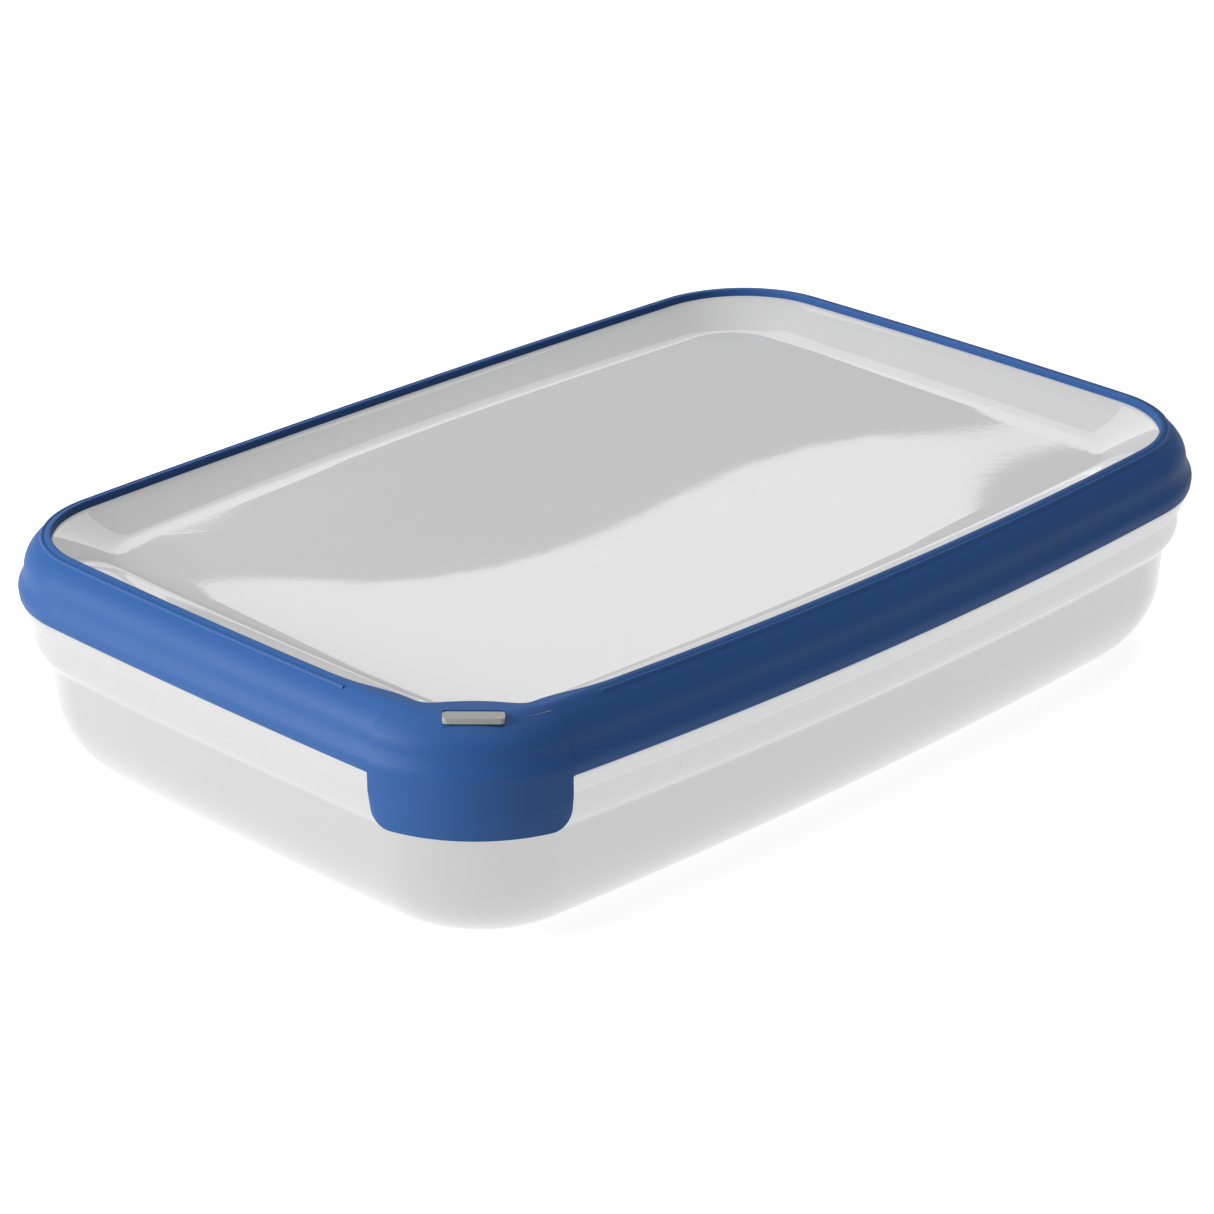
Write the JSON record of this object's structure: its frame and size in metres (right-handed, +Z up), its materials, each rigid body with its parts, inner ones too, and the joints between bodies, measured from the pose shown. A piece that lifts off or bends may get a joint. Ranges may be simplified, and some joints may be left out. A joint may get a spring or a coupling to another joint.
{
  "type": "food container",
  "caption": "Flat rectangular food box: translucent tub with a recessed translucent lid, a soft snap rim and a lift tab at one corner.",
  "frame": {"origin": "middle of the base, on the surface that the tub stands on", "axes": "+Z up, +X along the long side; the lift tab is at the -X, -Y corner"},
  "size_m": [0.37, 0.2524, 0.086],
  "materials": {
    "tub_plastic": "translucent milky moulded plastic, frosted band below the rim",
    "lid_plastic": "translucent grey plastic, smooth and glossy",
    "soft_rim": "soft blue moulded rim, satin"
  },
  "bodies": {
    "tub": {"container_tub": "tub_plastic"},
    "lid": {"lid_panel": "lid_plastic", "lid_rim": "soft_rim", "snap_lip": "soft_rim"},
    "tab": {"corner_lift_tab": "soft_rim", "tab_stiffener": "lid_plastic"}
  },
  "joints": [
    {"name": "lid_lift", "type": "slide", "parent": "tub", "child": "lid", "axis": [0, 0, 1], "range_m": [0, 0.12], "deforming": ["snap_lip"]},
    {"name": "tab_flex", "type": "hinge", "parent": "lid", "child": "tab", "pos_m": [-0.1577, -0.0958, 0.08605], "axis": [-0.7071, 0.7071, 0], "range_deg": [0, 30]}
  ]
}
